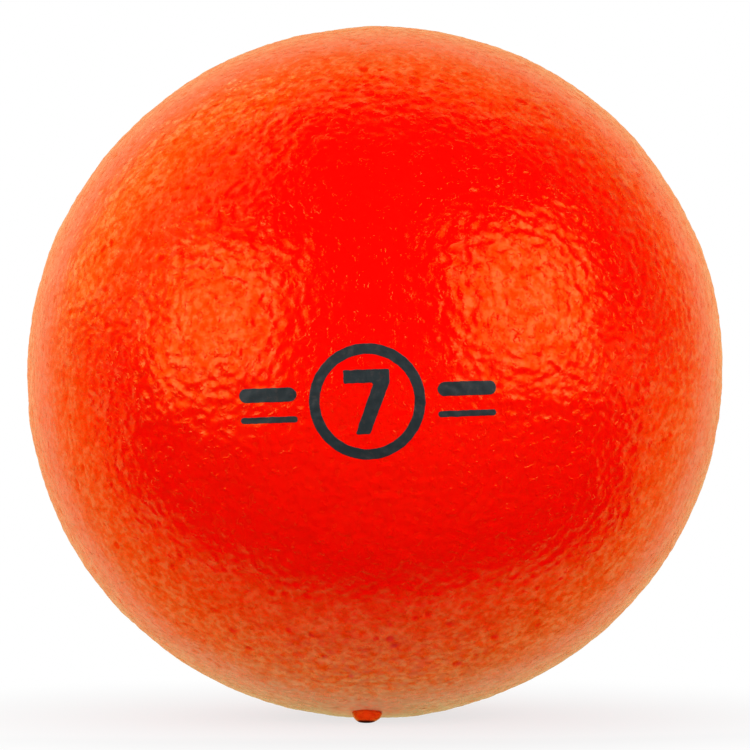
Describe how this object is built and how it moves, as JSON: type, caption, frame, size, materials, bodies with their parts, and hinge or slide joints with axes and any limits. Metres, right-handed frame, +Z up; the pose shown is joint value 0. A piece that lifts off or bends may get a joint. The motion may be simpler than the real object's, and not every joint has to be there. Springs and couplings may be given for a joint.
{
  "type": "foam ball",
  "caption": "Soft round play ball: a moulded foam core under a tough pebbled skin, with a low plug nub near its base; for throwing, catching and rolling.",
  "frame": {"origin": "centre of the ball", "axes": "+Z up as the ball lies on a level floor, -Y towards the viewer, with the nub at the bottom, a little to the front"},
  "size_m": [0.1777, 0.1777, 0.1778],
  "materials": {
    "foam": "matt open-celled foam",
    "seal_coat": "satin elastomer",
    "skin": "semi-gloss pebbled elastomer",
    "plug": "semi-gloss elastomer",
    "ink": "printed ink, near black"
  },
  "bodies": {
    "root": {"foam_core": "foam", "seal_coat": "seal_coat", "outer_skin": "skin", "pin_hole_plug": "plug"}
  },
  "joints": []
}
